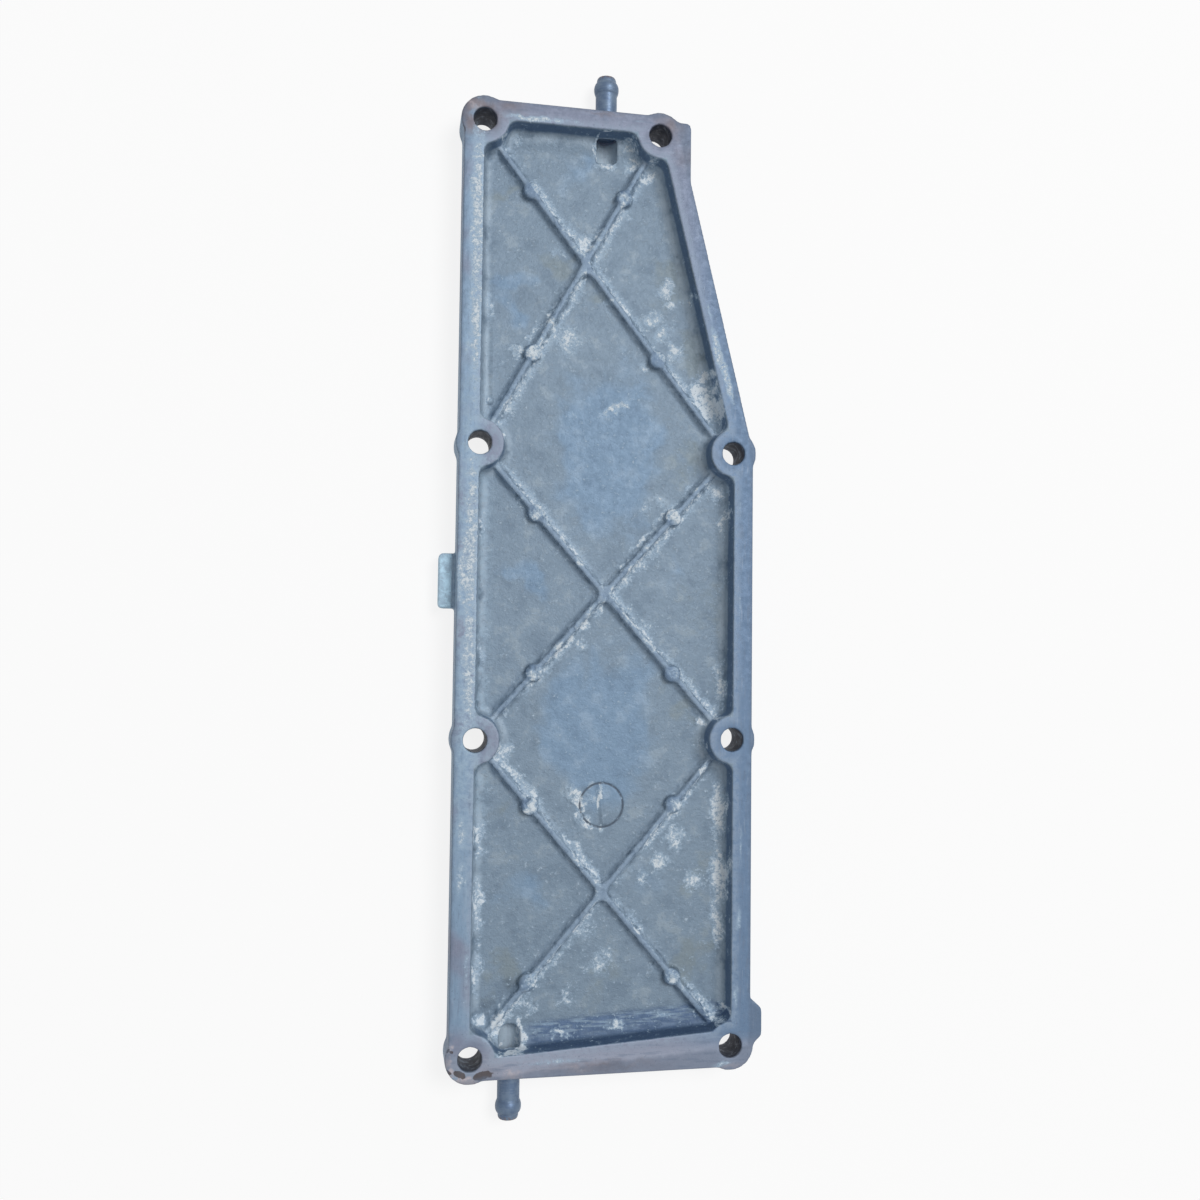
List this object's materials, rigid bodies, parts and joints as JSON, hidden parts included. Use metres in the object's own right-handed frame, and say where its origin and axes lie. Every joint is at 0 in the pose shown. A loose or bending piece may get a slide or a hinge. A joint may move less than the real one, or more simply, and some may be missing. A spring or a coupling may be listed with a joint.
{
  "type": "water jacket cover",
  "caption": "Shallow cast cover that closes a balancer's water jacket: flat bolt flange, pocket with crossed ribs, and a pressed-in hose spigot at each end.",
  "frame": {"origin": "centre of the middle four bolt holes, on the sealing face", "axes": "+Z out of the open pocket, square to the sealing face; +Y along the cover towards its narrow end; +X towards the side with the slanted edge"},
  "size_m": [0.1194, 0.3827, 0.016],
  "materials": {
    "cast_aluminium": "die cast, dull blue-grey oxide with chalky deposits",
    "spigot_steel": "dark passivated tube, slightly glossy"
  },
  "bodies": {
    "root": {"cover_casting": "cast_aluminium", "upper_hose_spigot": "spigot_steel", "lower_hose_spigot": "spigot_steel"}
  },
  "joints": []
}
